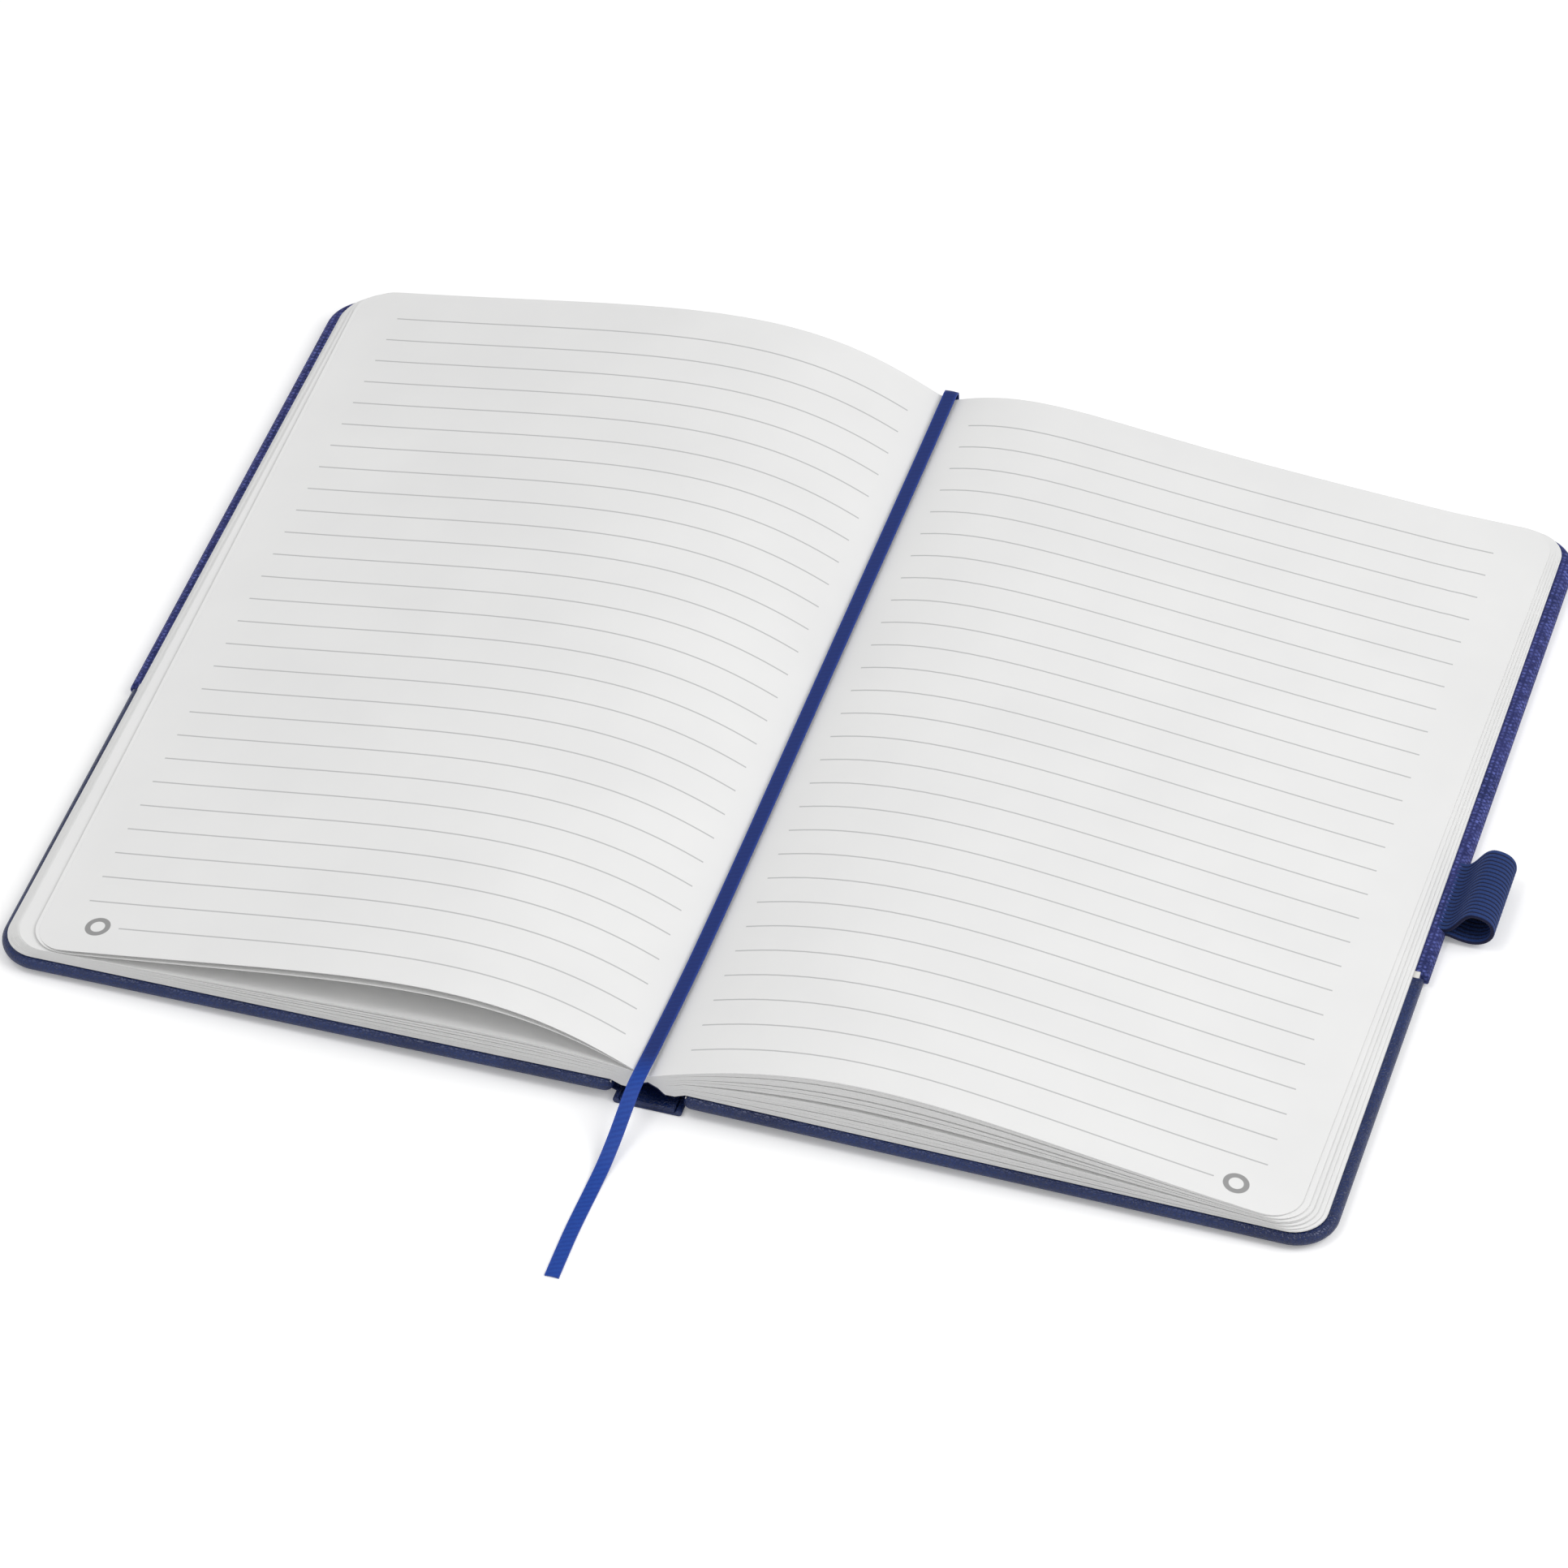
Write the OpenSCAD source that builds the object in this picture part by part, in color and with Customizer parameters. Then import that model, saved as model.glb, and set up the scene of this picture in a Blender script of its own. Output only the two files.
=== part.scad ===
// Open hardback notebook with ruled pages, a ribbon marker and a pen loop.
// Millimetres. X runs across both covers, Y up the page to its head, Z up.
// The origin is the middle of the spine's flat underside, on the table.

/* [Covers] */
// Height of each cover along the spine
cover_h = 211.5; // [180:0.5:260]
// Width of each cover from its hinge line to its fore edge
cover_w = 128.5; // [100:0.5:180]
// Radius of the two fore-edge corners of a cover
cover_r = 11; // [6:0.5:20]
// Thickness of the board with its leatherette
leather_t = 3; // [2.4:0.1:4]
// How far the fabric lies below the leatherette's underside
fabric_drop = 0.7; // [0.3:0.1:1.2]
// How far the fabric stands out past the leatherette at the fore edge
fabric_out = 0.8; // [0.3:0.1:1.5]
// Thickness of the covering under the board, in the leatherette part
wrap_t = 0.5; // [0.3:0.05:0.7]
// Thickness of the covering turned in over the board
turn_t = 0.4; // [0.2:0.05:0.6]
// Width of the turned-in border inside a cover
turn_w = 16; // [12:0.5:24]
// Place of the seam on the front cover, up from the middle
front_seam_y = -24; // [-60:0.5:40]
// Place of the seam on the back cover and spine, up from the middle
back_seam_y = -29; // [-60:0.5:40]
// Open width of the seam, which shows the board
seam_gap = 0.6; // [0.2:0.1:1.5]
// Radius of the fabric's rolled hem along the seam
hem_r = 0.8; // [0.5:0.1:1.2]

/* [Spine] */
// Distance between the two hinge lines
spine_w = 14; // [12:0.5:24]
// Diameter of the roll that the covering forms under each joint
roll_d = 1.4; // [1:0.1:2.4]
// Thickness of the covering on the spine
spine_t = 0.5; // [0.4:0.05:0.8]
// Thickness of the card that stiffens the spine
spine_card_t = 0.8; // [0.4:0.1:1.2]
// Width of the bead that joins the covering to the pages
bead_w = 1.3; // [0.8:0.1:1.8]

/* [Pages] */
// How far the covers stand past the pages at the head and at the tail
page_square = 1.8; // [1:0.1:4]
// Distance of the lowest leaves' fore edge from the cover's fore edge
page_inset = 4; // [2:0.5:8]
// Radius of a page's outer corners
page_r = 8; // [4:0.5:12]
// Height of the top leaves in the gutter
gutter_z = 8.5; // [7.6:0.1:12]
// Height of the hollow arch under the gutter
arch_z = 6.8; // [6:0.1:7]
// Height of the pages' spine corners, on the beads
spine_corner_z = 4.2; // [3.6:0.1:4.6]
// Rise of the lifted left leaf
leaf_rise = 13.9; // [8:0.5:18]
// Distance from the gutter to the top of the lifted leaf
leaf_crest = 46; // [36:1:60]
// Thickness of a lifted leaf
leaf_t = 0.3; // [0.2:0.05:0.5]
// Rise of the left pages that lie flat
left_rise = 2.8; // [1.5:0.1:4]
// Rise of the right pages
right_rise = 8.2; // [6:0.1:12]
// How much more the lifted leaf rises at the head than in the middle
leaf_twist = 0.75; // [0:0.05:1.5]
// How much less the right pages rise at the head than in the middle
right_twist = 3.2; // [0:0.1:4]
// Widest gap between two groups of pages
group_gap = 1.2; // [0.4:0.1:1.6]

/* [Endpapers] */
// Thickness of the paper pasted inside a cover
paste_t = 0.2; // [0.15:0.05:0.4]
// Distance of the pasted paper from the cover's edges
paste_inset = 3; // [2:0.5:6]
// Thickness of the paper lining on the back of the pages
lining_t = 0.3; // [0.2:0.05:0.5]

/* [Pen loop] */
// Width of the elastic along the cover's edge
loop_w = 19.5; // [12:0.5:26]
// Thickness of the elastic
loop_t = 0.9; // [0.6:0.1:1.2]
// Place of the loop's middle, up from the middle of the cover
loop_y = -4.5; // [-20:0.5:70]
// How far the loop stands out past the cover's fore edge
loop_out = 11; // [9:0.5:14]
// Height of the loop's top above the cover's underside
loop_top = 9.1; // [8:0.1:12]
// Length of the elastic's glued end inside the cover
tab_l = 14; // [10:0.5:15]

/* [Ribbon] */
// Width of the ribbon
ribbon_w = 3.2; // [2:0.1:6]
// Thickness of the ribbon
ribbon_t = 0.4; // [0.3:0.05:0.6]

/* [Hidden] */

// Clearance between the lowest leaves and the pasted paper
page_gap = 0.1;
page_h = cover_h - 2 * page_square;
page_half = page_h / 2;
// Whole thickness of a cover, fabric and board together
cover_t = leather_t + fabric_drop;
// Hinge lines, at the height of the rolls
hinge_x = spine_w / 2;
hinge_z = roll_d;
// Each cover runs from its hinge line down to the table at its fore edge
cover_tilt = asin(hinge_z / cover_w);
roll_r = roll_d / 2;
roll_x = hinge_x - roll_r - 0.05;
bead_x1 = hinge_x - cover_t / 2 - 0.2;
bead_x0 = bead_x1 - bead_w;

// Pages: far ends of the leaves, from the gutter
fore_x = hinge_x + cover_w;
page_w = fore_x - page_inset;
page_bottom_z = hinge_z + (cover_t + paste_t + page_gap) / cos(cover_tilt);
// Each group of leaves under the top one ends a little farther out
left_ends = [page_w, page_w - 1.6, page_w - 3.2];
left_bands = [0, 0.42, 0.72, 1];
leaf_end = page_w - 6;
right_ends = [page_w, page_w - 2.2, page_w - 4.8, page_w - 8];
right_bands = [0, 0.3, 0.56, 0.8, 1];
right_gaps = [0.3, 1, 0.25];
left_gaps = [0.3, 0.2];
// How much the pages fall for each millimetre from the gutter
leaf_slope = 0.056;
left_slope = 0.02;
right_slope = 0.043;
// Where the pages stand highest, from the gutter
left_crest = 35;
right_crest = 42;
twist_crest = 56;
// Gaps between the groups at the head, as a share of those at the tail
head_gap = 0.4;
// The second lifted leaf hangs this share lower than the first
second_leaf = 0.92;

// A rise from zero to one at t = 1, and a slow fall after it
function swell(t) = t * exp(1 - t);
function swell_slow(t) = pow(swell(t), 1.3);
function swell_narrow(t) = pow(swell(t), 3);

// Underside of the pages at a distance u from the middle of the spine
function under_z(u) = page_bottom_z - (u - hinge_x) * tan(cover_tilt);
// Tops of the pages, where k is 1 at the head and -1 at the tail
function left_z(u) = gutter_z - left_slope * max(u, 0)
    + left_rise * swell(max(u, 0) / left_crest);
function leaf_z(u, k, share) = max(left_z(u) + leaf_t * (share == 1 ? 1.6 : 0.8),
    gutter_z - leaf_slope * u
        + (leaf_rise + leaf_twist * k) * share * swell_slow(max(u, 0) / leaf_crest));
function right_z(u, k) = gutter_z - right_slope * u + right_rise * swell(u / right_crest)
    - right_twist * k * swell_narrow(max(u, 0) / twist_crest);
function band_z(u, top, f) = under_z(u) + f * (top - under_z(u));
// How far from the gutter the gaps start, and how deep the closed groups join
gap_start = 9;
group_join = 0.02;
// A gap between two groups of pages, closed near the gutter and the fore edge
function lens(u, open_to) = u < gap_start || u > open_to ? -group_join
    : group_gap * sin(180 * (u - gap_start) / (open_to - gap_start)) - group_join;

// Steps across a page, closer together near the gutter. The first is just past the middle
u_steps = 34;
past_middle = 0.3;
function u_at(i, end) = i == 0 ? -past_middle : end * pow(i / u_steps, 1.5);

// One group of leaves. low and high are its heights from the gutter out, tail then head
module leaves(side, end, low, high) {
    n = len(low[0]);
    ring = n * 2;
    points = [for (k = [0, 1])
        for (i = [0:ring - 1])
            let (j = i < n ? i : ring - 1 - i)
                [side * u_at(j, end), (2 * k - 1) * page_half, i < n ? low[k][j] : high[k][j]]];
    flip = side > 0;
    sides = [for (i = [0:ring - 1])
        let (a = i, b = (i + 1) % ring)
            flip ? [a, b, b + ring, a + ring] : [a + ring, b + ring, b, a]];
    tail_cap = [for (i = [0:ring - 1]) flip ? ring - 1 - i : i];
    head_cap = [for (i = [0:ring - 1]) ring + (flip ? i : ring - 1 - i)];
    intersection() {
        polyhedron(points, concat(sides, [tail_cap, head_cap]), convexity = 4);
        page_outline(side, end);
    }
}

// A page seen from above, with its two outer corners rounded
module page_outline(side, end) {
    linear_extrude(2 * (gutter_z + leaf_rise))
            hull() {
                translate([-past_middle, -page_half])
                    square([2 * past_middle, page_h]);
                for (s = [-1, 1])
                    translate([side * (end - page_r), s * (page_half - page_r)])
                        circle(r = page_r, $fn = 48);
            }
}

// A rectangle from x0 to x1 whose corners at x1 are round
module rounded_fore(x0, x1, h, r) {
    translate([x0, -h / 2])
        square([x1 - r - x0, h]);
    translate([x0, -h / 2 + r])
        square([x1 - x0, h - 2 * r]);
    for (s = [-1, 1])
        translate([x1 - r, s * (h / 2 - r)])
            circle(r = r, $fn = 48);
}

// Heights of one boundary between groups, at the tail and at the head
function boundary(side, end, f) = [for (k = [-1, 1]) [for (i = [0:u_steps])
    let (u = u_at(i, end))
        band_z(u, side < 0 ? left_z(u) : right_z(u, k), f)]];
function gap_over(end, open_to, share) = [for (i = [0:u_steps])
    let (w = lens(u_at(i, end), open_to))
        w > 0 ? w * share : w];
function raised(heights, gap) = [heights[0] + gap,
    heights[1] + [for (w = gap) w > 0 ? w * head_gap : w]];

// Share of a group's width that the gap over it reaches
gap_reach = 0.86;
module page_stack(side, ends, bands, gaps) {
    for (i = [0:len(ends) - 1])
        leaves(side, ends[i],
            i == 0 ? boundary(side, ends[i], 0)
                : raised(boundary(side, ends[i], bands[i]),
                    gap_over(ends[i], ends[i] * gap_reach, gaps[i - 1])),
            boundary(side, ends[i], bands[i + 1]));
}

module lifted_leaf(share) {
    top = [for (k = [-1, 1]) [for (i = [0:u_steps]) leaf_z(u_at(i, leaf_end), k, share)]];
    leaves(-1, leaf_end, [for (row = top) [for (z = row) z - leaf_t]], top);
}

// The bound edge of the pages: an arch between the two corners on the beads
function arch_profile(x1, z0, top) = [[-x1, z0], [-x1 * 0.55, z0 + (top - z0) * 0.62],
    [0, top], [x1 * 0.55, z0 + (top - z0) * 0.62], [x1, z0]];

// How far the bound strip over the beads reaches up into the pages
spine_join = 0.6;

module text_block() color([0.9, 0.9, 0.9]) {
    difference() {
        union() {
            page_stack(-1, left_ends, left_bands, left_gaps);
            page_stack(1, right_ends, right_bands, right_gaps);
            lifted_leaf(1);
            lifted_leaf(second_leaf);
            along_y(-page_half, page_half)
                polygon([[-bead_x1, spine_corner_z], [bead_x1, spine_corner_z],
                    [bead_x1, page_bottom_z + spine_join],
                    [-bead_x1, page_bottom_z + spine_join]]);
        }
        along_y(-cover_h / 2, cover_h / 2)
            polygon(concat([[-bead_x0, 0]], arch_profile(bead_x0, spine_corner_z, arch_z),
                [[bead_x0, 0]]));
    }
}

module spine_lining() color([0.82, 0.8, 0.76])
    along_y(-page_half, page_half)
        difference() {
            polygon(concat([[-bead_x0, spine_corner_z]],
                arch_profile(bead_x0, spine_corner_z, arch_z),
                [[bead_x0, spine_corner_z]]));
            polygon(concat([[-bead_x0, 0]],
                arch_profile(bead_x0 - lining_t, spine_corner_z - 0.1, arch_z - lining_t),
                [[bead_x0, 0]]));
        }

// Turns an outline drawn in X and Z into a solid between two places along Y
module along_y(y0, y1)
    translate([0, y1, 0])
        rotate([90, 0, 0])
            linear_extrude(y1 - y0)
                children();

module spine_card() color([0.7, 0.68, 0.62])
    translate([-bead_x0, -page_half, spine_t])
        cube([2 * bead_x0, page_h, spine_card_t]);

// The covering on the spine: a strip with a roll under each joint and a bead on each side
module spine_wrap(y0, y1)
    along_y(y0, y1) {
        translate([-roll_x, 0])
            square([2 * roll_x, spine_t]);
        for (s = [-1, 1]) {
            translate([s * roll_x, roll_r])
                circle(r = roll_r, $fn = 48);
            translate([s > 0 ? bead_x0 : -bead_x1, 0])
                square([bead_w, spine_corner_z]);
        }
    }

module spine_leatherette() color([0.13, 0.17, 0.4])
    spine_wrap(-cover_h / 2, back_seam_y);

module spine_fabric() color([0.26, 0.24, 0.48])
    spine_wrap(back_seam_y, cover_h / 2);

// A slab with half-round edges on three sides and its hinge end, from z0 up by t
module bull_slab(w, h, r_corner, z0, t) {
    r = t / 2;
    flat_w = w - r;
    translate([0, 0, z0])
        linear_extrude(t)
            rounded_fore(0, flat_w, h - t, r_corner - r);
    translate([0, 0, z0 + r]) {
        for (s = [-1, 1]) {
            translate([0, s * (h / 2 - r), 0])
                rotate([90, 0, 90])
                    linear_extrude(w - r_corner)
                        half_round(r, s);
            translate([w - r_corner, s * (h / 2 - r_corner), 0])
                rotate([0, 0, s > 0 ? 0 : -90])
                    rotate_extrude(angle = 90, $fn = 96)
                        translate([r_corner - r, 0])
                            half_round(r, 1);
        }
        translate([flat_w, h / 2 - r_corner, 0])
            rotate([90, 0, 0])
                linear_extrude(h - 2 * r_corner)
                    half_round(r, 1);
        translate([0, h / 2 - r, 0])
            rotate([90, 0, 0])
                linear_extrude(h - t)
                    half_round(r, -1);
        for (s = [-1, 1])
            translate([0, s * (h / 2 - r), 0])
                rotate([0, 0, s > 0 ? 90 : 180])
                    rotate_extrude(angle = 90, $fn = 96)
                        half_round(r, 1);
    }
}

// Half a disc, round on the side that s names
module half_round(r, s)
    intersection() {
        circle(r = r, $fn = 48);
        translate([s > 0 ? 0 : -r, -r])
            square([r, 2 * r]);
    }

// Puts a part drawn as a flat right-hand cover on its hinge line. side is 1 for the back cover
module on_hinge(side)
    mirror([side < 0 ? 1 : 0, 0, 0])
        translate([hinge_x, 0, hinge_z])
            rotate([0, cover_tilt, 0])
                children();

// The board stops this short of the hinge line, and this far inside its covering at the edges
board_back = 0.4;
board_ease = 0.6;
board_z0 = fabric_drop + wrap_t;
board_z1 = cover_t - turn_t;
leather_w = cover_w - fabric_out;
board_w = leather_w - wrap_t;
board_h = cover_h - 2 * wrap_t - 2 * fabric_out;
leather_h = cover_h - 2 * fabric_out;

// The room inside the covering, which the board fills
module board_room()
    translate([0, 0, board_z0])
        linear_extrude(board_z1 - board_z0)
            rounded_fore(board_back, board_w - board_ease, board_h - 2 * board_ease,
                cover_r - fabric_out - board_ease);

module board_solid(side)
    difference() {
        board_room();
        if (side > 0)
            tab_space();
    }

module between_y(y0, y1)
    intersection() {
        children();
        translate([-cover_t, y0, -cover_t])
            cube([cover_w + 2 * cover_t, y1 - y0, 3 * cover_t]);
    }

// The opening that the turned-in border leaves on the inside of the board
window_r = 2;
module turn_window(grow)
    translate([0, 0, board_z1])
        linear_extrude(cover_t)
            rounded_fore(turn_w - grow, cover_w - turn_w + grow, cover_h - 2 * turn_w + 2 * grow,
                window_r);

module leatherette_part(seam_y)
    difference() {
        between_y(-cover_h, seam_y - seam_gap / 2)
            bull_slab(leather_w, leather_h, cover_r - fabric_out, fabric_drop, leather_t);
        board_room();
        turn_window(0);
    }

// How far inside the fore edge the hem ends, and how far it reaches up into the cloth
hem_short = 0.3;

module fabric_part(side, seam_y)
    difference() {
        union() {
            between_y(seam_y + seam_gap / 2 + hem_r, cover_h)
                bull_slab(cover_w, cover_h, cover_r, 0, cover_t);
            translate([hem_r, seam_y + seam_gap / 2 + hem_r, hem_r])
                rotate([0, 90, 0])
                    cylinder(r = hem_r, h = cover_w - hem_r - hem_short, $fn = 48);
            translate([0, seam_y + seam_gap / 2 + hem_r / 2, board_z0 - hem_short])
                cube([cover_w - hem_short, hem_r, cover_t - board_z0 + hem_short]);
        }
        board_room();
        turn_window(0);
        if (side > 0)
            tab_space();
    }

// The paper pasted over the turned-in border, stepping down onto the board inside it
module pastedown() {
    difference() {
        translate([0, 0, cover_t])
            linear_extrude(paste_t)
                rounded_fore(paste_inset, cover_w - paste_inset, cover_h - 2 * paste_inset,
                    cover_r - paste_inset);
        turn_window(-paste_t);
    }
    difference() {
        intersection() {
            turn_window(0);
            translate([0, -cover_h, board_z1])
                cube([cover_w, 2 * cover_h, cover_t + paste_t - board_z1]);
        }
        translate([0, 0, paste_t])
            turn_window(-paste_t);
    }
}

// The room that the elastic's glued end takes under the pasted paper
module tab_space()
    translate([cover_w - tab_l, loop_y - loop_w / 2, cover_t - 2 * loop_t])
        cube([tab_l + loop_out, loop_w, 3 * loop_t]);

// A cubic curve through two end points with two handles
function bezier(a, b, c, d, n) = [for (i = [0:n - 1])
    let (t = i / n, s = 1 - t)
        s * s * s * a + 3 * s * s * t * b + 3 * s * t * t * c + t * t * t * d];
// Middle of the elastic round the loop, in X and Z of the flat cover
loop_in = 0.6;
loop_low = 1.5;
loop_start = [cover_w - loop_in, cover_t - loop_t / 2];
loop_crest = [cover_w + loop_out * 0.55, loop_top - loop_t / 2];
loop_side = [cover_w + loop_out - loop_t / 2, loop_top * 0.58];
loop_foot = [cover_w + loop_out * 0.5, loop_low];
loop_end = [cover_w - loop_in, cover_t - 1.5 * loop_t];
// Handles of the curve, as shares of how far the loop stands out and up
soft = [loop_out * 0.27, 0];
tight = [0, loop_top * 0.22];
loop_path = concat(
    bezier(loop_start, loop_start + soft, loop_crest - soft, loop_crest, 12),
    bezier(loop_crest, loop_crest + soft, loop_side + tight, loop_side, 8),
    bezier(loop_side, loop_side - tight, loop_foot + soft, loop_foot, 8),
    bezier(loop_foot, loop_foot - soft * 0.9, loop_end + soft * 0.8, loop_end, 10),
    [loop_end]);
function unit(v) = v / norm(v);
function along(path, i) = unit(path[min(i + 1, len(path) - 1)] - path[max(i - 1, 0)]);
function beside(path, i, d) = path[i] + d * [-along(path, i).y, along(path, i).x];
// Outer or inner face of the elastic
function loop_edge(d) = [for (i = [0:len(loop_path) - 1]) beside(loop_path, i, d)];

module pen_loop() color([0.16, 0.24, 0.5])
    on_hinge(1)
        translate([0, loop_y + loop_w / 2, 0])
            rotate([90, 0, 0])
                linear_extrude(loop_w)
                    difference() {
                        polygon(concat([[cover_w - tab_l, cover_t - 2 * loop_t],
                            [cover_w - tab_l, cover_t]], loop_edge(loop_t / 2)));
                        polygon(loop_edge(-loop_t / 2));
                    }

// Ribbon: middle of its route, from inside the head of the spine to its cut end on the table
// It lies this high in the gutter
ribbon_z = gutter_z + 1.4;
ribbon_tail = 48;
table_z = 0.3;
ribbon_route = [[0, page_half - 7.5, 2.4], [0, page_half - 1.2, 2.5],
    [0, page_half + 1.3, 4.2], [0, page_half + 1.8, 7.4], [0, page_half + 0.9, ribbon_z],
    [0, page_half - 4, ribbon_z + 0.2], [0, page_half * 0.8, ribbon_z],
    [0, page_half * 0.4, ribbon_z], [0, 0, ribbon_z], [0, -page_half * 0.4, ribbon_z],
    [-0.2, -page_half * 0.7, ribbon_z], [-0.8, -page_half * 0.92, ribbon_z],
    [-1.1, 0.3 - page_half, ribbon_z], [-1.5, -page_half - 4, ribbon_z - 0.9],
    [-1.9, -page_half - 8, ribbon_z - 3], [-2.5, -page_half - 13, 3.6],
    [-3.1, -page_half - 18.5, 1.1], [-3.5, -page_half - 25, table_z],
    [-3.8, -page_half - 36, table_z], [-3.7, -page_half - ribbon_tail, table_z]];
// Eight points round the ribbon's flat section
function flat_ring(c, across, up) = [for (p = [[0.5, 0.25], [0.46, 0.5], [-0.46, 0.5],
    [-0.5, 0.25], [-0.5, -0.25], [-0.46, -0.5], [0.46, -0.5], [0.5, -0.25]])
        c + p.x * ribbon_w * across + p.y * ribbon_t * up];
function spline(a, b, c, d, t) = 0.5 * (2 * b + (c - a) * t
    + (2 * a - 5 * b + 4 * c - d) * t * t + (3 * b - a - 3 * c + d) * t * t * t);
function pick(list, i) = list[max(0, min(len(list) - 1, i))];
ribbon_path = [for (i = [0:len(ribbon_route) - 2]) for (t = [0, 0.33, 0.67])
    spline(pick(ribbon_route, i - 1), ribbon_route[i], ribbon_route[i + 1],
        pick(ribbon_route, i + 2), t)];
ribbon_line = concat(ribbon_path, [ribbon_route[len(ribbon_route) - 1]]);

module ribbon_marker() color([0.12, 0.28, 0.62]) {
    n = len(ribbon_line);
    points = [for (i = [0:n - 1])
        let (d = along(ribbon_line, i))
            each flat_ring(ribbon_line[i], [1, 0, 0], unit(cross([1, 0, 0], d)))];
    walls = [for (i = [0:n - 2]) for (j = [0:7])
        let (a = i * 8 + j, b = i * 8 + (j + 1) % 8)
            [a, b, b + 8, a + 8]];
    polyhedron(points, concat(walls, [[for (j = [7:-1:0]) j],
        [for (j = [0:7]) (n - 1) * 8 + j]]), convexity = 6);
}

module front_board() color([0.88, 0.87, 0.84])
    on_hinge(-1) board_solid(-1);
module front_leatherette() color([0.13, 0.17, 0.4])
    on_hinge(-1) leatherette_part(front_seam_y);
module front_fabric() color([0.26, 0.24, 0.48])
    on_hinge(-1) fabric_part(-1, front_seam_y);
module front_pastedown() color([0.93, 0.93, 0.93])
    on_hinge(-1) pastedown();
module back_board() color([0.88, 0.87, 0.84])
    on_hinge(1) board_solid(1);
module back_leatherette() color([0.13, 0.17, 0.4])
    on_hinge(1) leatherette_part(back_seam_y);
module back_fabric() color([0.26, 0.24, 0.48])
    on_hinge(1) fabric_part(1, back_seam_y);
module back_pastedown() color([0.93, 0.93, 0.93])
    on_hinge(1) pastedown();

text_block();
spine_lining();
spine_card();
spine_leatherette();
spine_fabric();
ribbon_marker();
front_board();
front_leatherette();
front_fabric();
front_pastedown();
back_board();
back_leatherette();
back_fabric();
back_pastedown();
pen_loop();
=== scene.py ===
"""Looks of an open hardback notebook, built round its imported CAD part. Metres."""
import math
import random

import bmesh
import bpy
from mathutils import Matrix, Vector


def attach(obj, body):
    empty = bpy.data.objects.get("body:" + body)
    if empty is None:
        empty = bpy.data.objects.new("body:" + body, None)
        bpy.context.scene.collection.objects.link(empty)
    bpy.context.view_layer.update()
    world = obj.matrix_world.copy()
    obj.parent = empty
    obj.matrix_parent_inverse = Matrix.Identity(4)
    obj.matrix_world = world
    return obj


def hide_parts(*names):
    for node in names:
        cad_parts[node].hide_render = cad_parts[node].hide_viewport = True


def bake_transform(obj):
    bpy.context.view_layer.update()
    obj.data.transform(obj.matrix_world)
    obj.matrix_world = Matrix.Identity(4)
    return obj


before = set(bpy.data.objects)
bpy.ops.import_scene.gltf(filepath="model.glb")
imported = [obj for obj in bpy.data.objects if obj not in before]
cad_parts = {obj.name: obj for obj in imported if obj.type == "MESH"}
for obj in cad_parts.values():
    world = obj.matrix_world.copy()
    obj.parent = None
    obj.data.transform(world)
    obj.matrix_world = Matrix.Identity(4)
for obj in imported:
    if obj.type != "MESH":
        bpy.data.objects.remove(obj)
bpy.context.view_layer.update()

# Sizes in millimetres. Those of the covers and the spine are the part's own
MM = 0.001
COVER_H = 211.5
COVER_W = 128.5
COVER_R = 9.5
COVER_T = 3.7
# The fabric is thicker than the leatherette, below and all round
FABRIC_DROP = 0.7
FABRIC_OUT = 0.8
FRONT_SEAM_Y = -24.0
BACK_SEAM_Y = -29.0
SEAM_GAP = 0.6
# The back cover's head edge shows this much lower in the photograph
BACK_HEAD_DROP = 1.0
# Border of covering that is turned in over the board, with a step to the board inside it
TURN_T = 0.4
TURN_W = 16.0
STEP = 0.4
# Radius of a cover's corners at the hinge, as a share of its thickness
HINGE_CORNER = 0.62
# The end paper, with a little room under it and over it
PASTE_T = 0.2
PASTE_ROOM = 0.1
# The two hinge lines beside the spine, and the covers' slope down from them to the table
HINGE_X = 7.0
HINGE_Z = 1.4
COVER_TILT = math.asin(HINGE_Z / COVER_W)

# Spine: the strip with its rolled sides, the card on it and the two ridges that carry the pages
SPINE_T = 0.5
SPINE_CARD_TOP = 1.3
SPINE_TAIL_SHORT = 1.0
SPINE_HEAD_SHORT = 0.4
ROLL_R = 0.7
ROLL_X = 6.25
BEAD_X0 = 3.65
BEAD_X1 = 4.95
BEAD_SHORT = 5.0
SPINE_CORNER_Z = 4.2

# Pages: their outline, the arch over the spine, and the curves of the two sides
PAGE_H = 207.9
PAGE_HALF = PAGE_H / 2
PAGE_R = 7.0
PAGE_W = 133.0
PAGE_W_RIGHT = 132.4
PAGE_BOTTOM_Z = HINGE_Z + (COVER_T + PASTE_T + PASTE_ROOM) / math.cos(COVER_TILT)
GUTTER_Z = 8.3
ARCH_Z = 6.8
LEFT_COUNT = 16
LEFT_RISE = 2.8
LEFT_CREST = 35.0
LEFT_SLOPE = 0.02
RIGHT_COUNT = 24
RIGHT_RISE = 7.9
RIGHT_CREST = 41.0
RIGHT_SLOPE = 0.042
RIGHT_TWIST = 4.0
RIGHT_TWIST_CREST = 57.0
RIGHT_LEAST = 1.5
# The lifted leaves: their curve, their width and how much farther out they end at the head
LEAF_RISE = 14.1
LEAF_CREST = 49.0
LEAF_SLOPE = 0.062
LEAF_TWIST = 0.4
LEAF_END = 127.6
LEAF_LEAN = 1.2
# The gaps between the leaves start this far from the gutter
GAP_FROM = 4.0
# Thin space that is always left under a leaf
LEAF_SPACE = 0.004

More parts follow.
